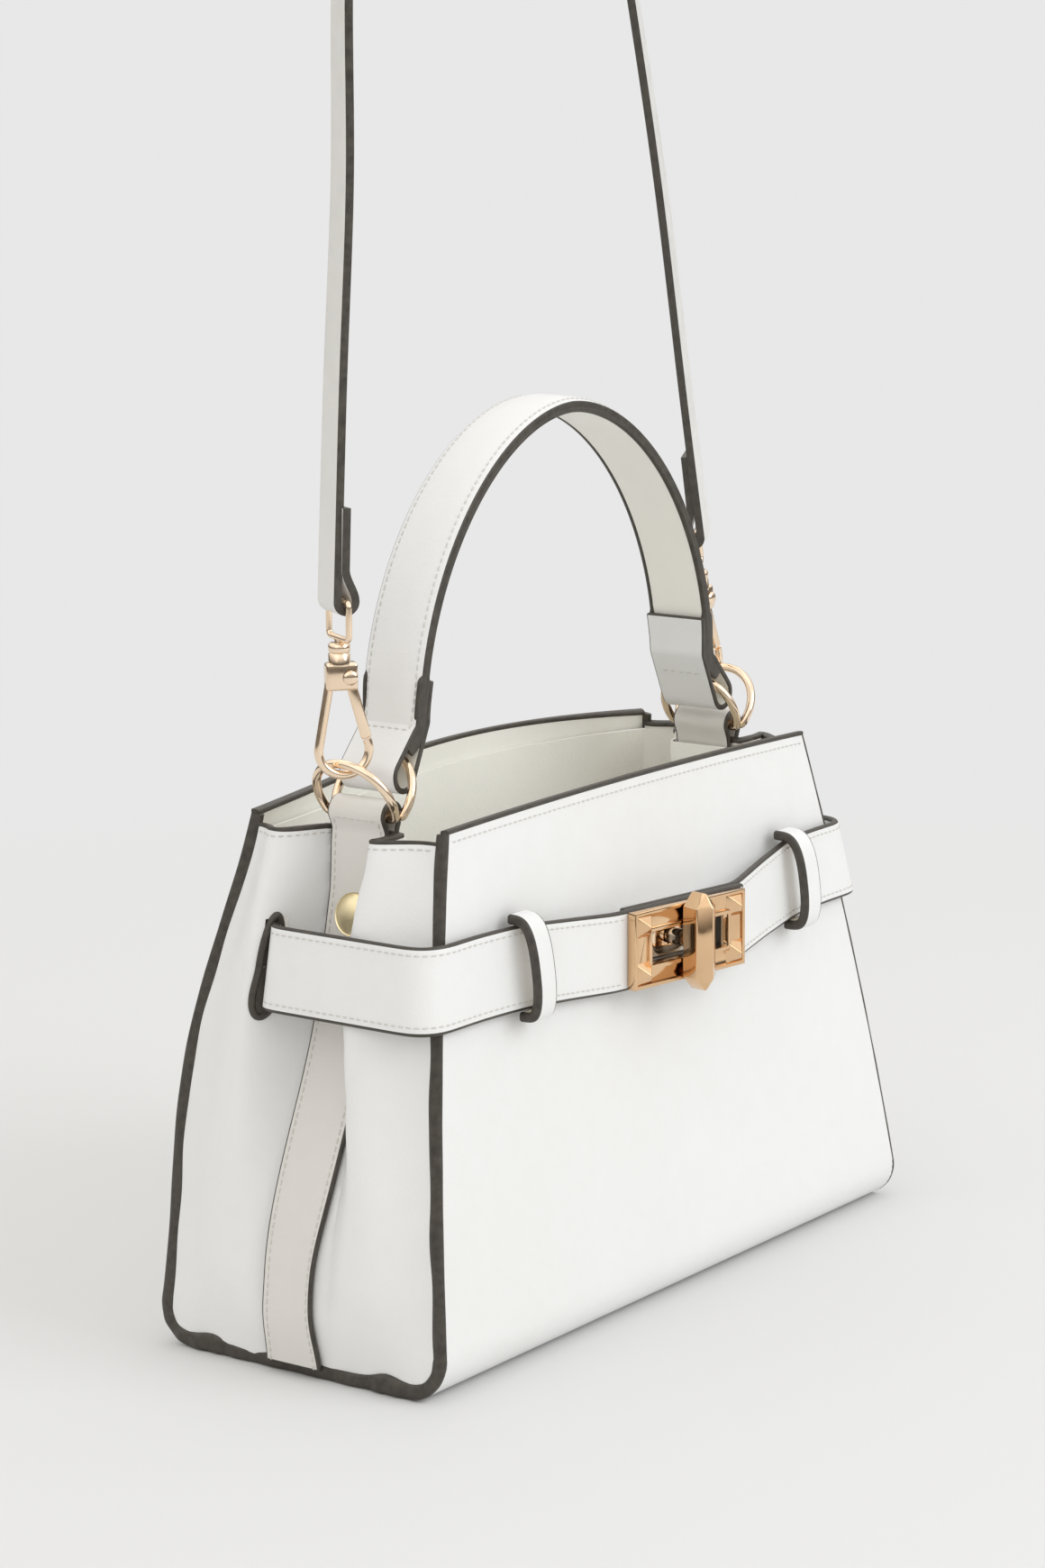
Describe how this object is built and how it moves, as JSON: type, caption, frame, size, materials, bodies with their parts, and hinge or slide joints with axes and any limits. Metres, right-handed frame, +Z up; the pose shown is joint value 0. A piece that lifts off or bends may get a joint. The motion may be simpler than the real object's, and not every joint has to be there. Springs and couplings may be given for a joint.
{
  "type": "mini bag",
  "caption": "Small structured belted handbag with a stiff arched top handle, a turn lock on the belt and a clip-on shoulder strap.",
  "frame": {"origin": "middle of the base's underside", "axes": "+X to the right seen from the front, -Y out of the front with the lock, +Z up"},
  "size_m": [0.2524, 0.1135, 0.5045],
  "materials": {
    "white_leather": "fine grain with dark painted edges",
    "lining_cloth": "plain woven",
    "base_board": "matt",
    "handle_padding": "foam",
    "rose_gold": "polished plating",
    "yellow_gold": "satin plating"
  },
  "bodies": {
    "bag": {"front_panel": "white_leather", "back_panel": "white_leather", "left_gusset": "white_leather", "right_gusset": "white_leather", "lining": "lining_cloth", "base_board": "base_board", "left_side_tab": "white_leather", "right_side_tab": "white_leather", "left_press_stud": "yellow_gold", "right_press_stud": "yellow_gold", "left_stud_back": "yellow_gold", "right_stud_back": "yellow_gold", "left_belt_strap": "white_leather", "right_belt_strap": "white_leather", "left_keeper": "white_leather", "right_keeper": "white_leather", "lock_plate": "rose_gold", "lock_base": "rose_gold", "lock_washer": "rose_gold"},
    "lock_bar": {"turn_bar": "rose_gold", "lock_spindle": "rose_gold"},
    "handle": {"handle_outer_strap": "white_leather", "handle_padding": "handle_padding", "handle_inner_strap": "white_leather"},
    "left_outer_ring": {"left_strap_ring": "rose_gold"},
    "right_outer_ring": {"right_strap_ring": "rose_gold"},
    "left_inner_ring": {"left_handle_ring": "rose_gold"},
    "right_inner_ring": {"right_handle_ring": "rose_gold"},
    "strap": {"shoulder_strap": "white_leather", "left_strap_eye": "rose_gold", "right_strap_eye": "rose_gold"},
    "left_snap": {"left_hook": "rose_gold", "left_gate_rivet": "rose_gold"},
    "right_snap": {"right_hook": "rose_gold", "right_gate_rivet": "rose_gold"},
    "left_snap_gate": {"left_gate": "rose_gold"},
    "right_snap_gate": {"right_gate": "rose_gold"}
  },
  "joints": [
    {"name": "lock_turn", "type": "hinge", "parent": "bag", "child": "lock_bar", "pos_m": [0, -0.05199, 0.109], "axis": [-0.1564, -0.9877, 0], "range_deg": [0, 90]},
    {"name": "handle_swing", "type": "hinge", "parent": "bag", "child": "handle", "pos_m": [0, 0, 0.16045], "axis": [1, 0, 0], "range_deg": [-8, 8]},
    {"name": "left_outer_ring_tilt", "type": "hinge", "parent": "bag", "child": "left_outer_ring", "pos_m": [-0.08981, 0, 0.1555], "axis": [0, 1, 0], "range_deg": [0, 6]},
    {"name": "right_outer_ring_tilt", "type": "hinge", "parent": "bag", "child": "right_outer_ring", "pos_m": [0.08981, 0, 0.1555], "axis": [0, -1, 0], "range_deg": [0, 6]},
    {"name": "left_inner_ring_tilt", "type": "hinge", "parent": "bag", "child": "left_inner_ring", "pos_m": [-0.08681, 0, 0.1555], "axis": [0, -1, 0], "range_deg": [0, 4]},
    {"name": "right_inner_ring_tilt", "type": "hinge", "parent": "bag", "child": "right_inner_ring", "pos_m": [0.08681, 0, 0.1555], "axis": [0, 1, 0], "range_deg": [0, 4]},
    {"name": "strap_swing", "type": "hinge", "parent": "bag", "child": "strap", "pos_m": [0, 0, 0.16031], "axis": [1, 0, 0], "range_deg": [-20, 12]},
    {"name": "left_hook_swivel", "type": "hinge", "parent": "strap", "child": "left_snap", "pos_m": [-0.09906, 0, 0.16832], "axis": [0, 0, 1], "range_deg": [-8, 12]},
    {"name": "right_hook_swivel", "type": "hinge", "parent": "strap", "child": "right_snap", "pos_m": [0.0986, 0.00705, 0.16555], "axis": [-0.1392, 0, 0.9903], "range_deg": [-4, 12]},
    {"name": "left_gate_swing", "type": "hinge", "parent": "left_snap", "child": "left_snap_gate", "pos_m": [-0.09707, -0.00167, 0.19612], "axis": [0.6428, 0.766, 0], "range_deg": [0, 18], "stiffness_Nm_per_rad": 0.02},
    {"name": "right_gate_swing", "type": "hinge", "parent": "right_snap", "child": "right_snap_gate", "pos_m": [0.09731, 0.00705, 0.19344], "axis": [0, 1, 0], "range_deg": [0, 18], "stiffness_Nm_per_rad": 0.02}
  ]
}
